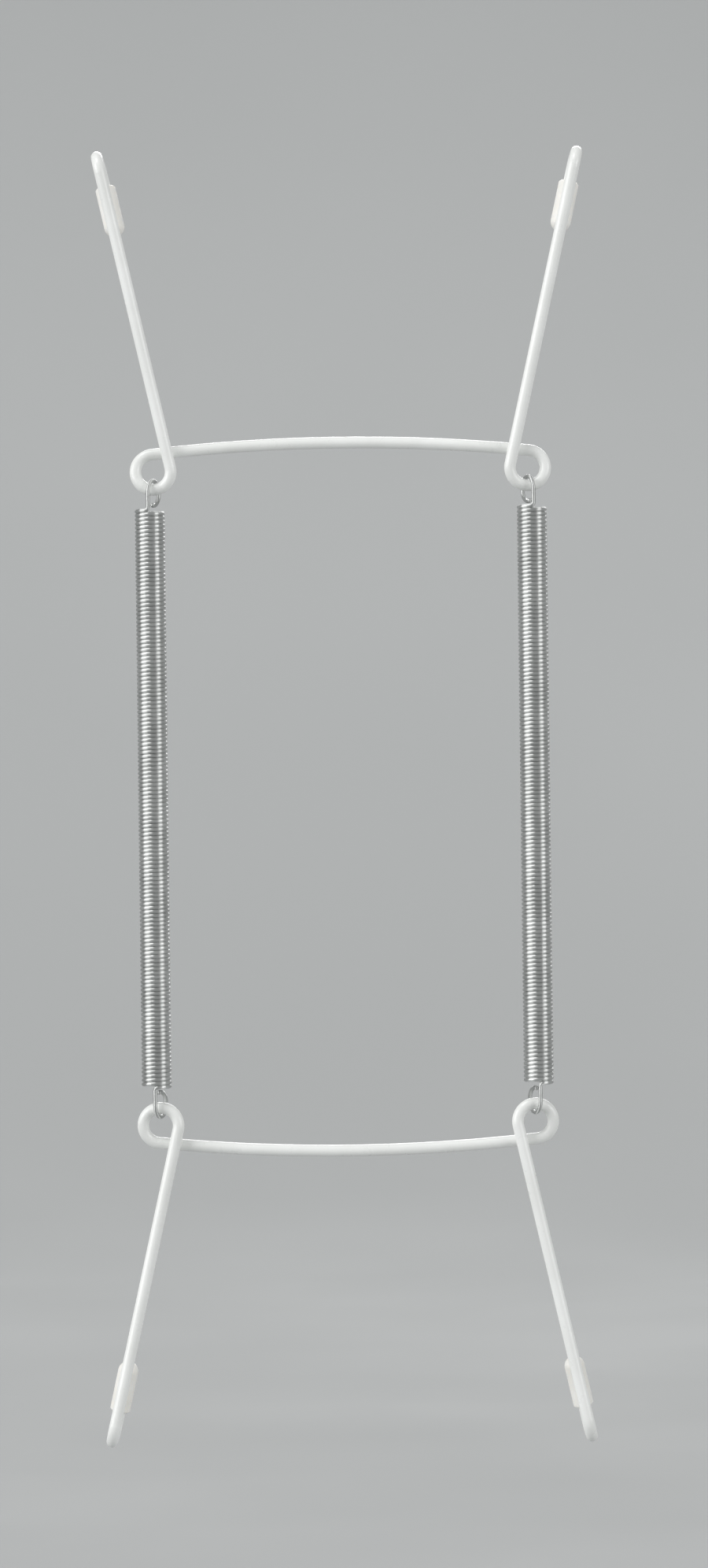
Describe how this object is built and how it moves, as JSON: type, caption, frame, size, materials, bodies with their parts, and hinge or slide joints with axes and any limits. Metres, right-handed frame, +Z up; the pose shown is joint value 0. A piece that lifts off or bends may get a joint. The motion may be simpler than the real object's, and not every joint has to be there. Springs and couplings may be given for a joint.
{
  "type": "wire plate hanger",
  "caption": "Sprung wall hanger for a display plate: bent white wires with looped eyes and hooked arms, joined by steel extension springs, with soft tips on the hooks.",
  "frame": {"origin": "middle of the upper bar, on the wire's centre line, where the hanger hangs on a nail or wall hook", "axes": "+Z up along the springs, +X to the right along the bars, +Y from the wall towards the plate"},
  "size_m": [0.0844, 0.0165, 0.2224],
  "materials": {
    "white_wire": "smooth white coating over steel wire",
    "spring_steel": "bright plated spring steel, close wound",
    "soft_tip": "soft white vinyl, satin"
  },
  "bodies": {
    "upper_frame": {"upper_wire": "white_wire", "upper_left_tip": "soft_tip", "upper_right_tip": "soft_tip"},
    "spring_tops": {"left_spring": "spring_steel"},
    "spring_bottoms": {"right_spring": "spring_steel"},
    "lower_frame": {"lower_wire": "white_wire", "lower_left_tip": "soft_tip", "lower_right_tip": "soft_tip"}
  },
  "joints": [
    {"name": "upper_swing", "type": "hinge", "parent": "upper_frame", "child": "spring_tops", "pos_m": [0, -0.00141, -0.00778], "axis": [1, 0, 0], "range_deg": [-90, 90]},
    {"name": "spring_stretch", "type": "slide", "parent": "spring_tops", "child": "spring_bottoms", "axis": [0, 0, -1], "range_m": [0, 0.127], "stiffness_N_per_m": 368, "springref_m": -0.0163, "deforming": ["left_spring", "right_spring"]},
    {"name": "lower_swing", "type": "hinge", "parent": "spring_bottoms", "child": "lower_frame", "pos_m": [0, -0.00141, -0.11364], "axis": [1, 0, 0], "range_deg": [-90, 90]}
  ]
}
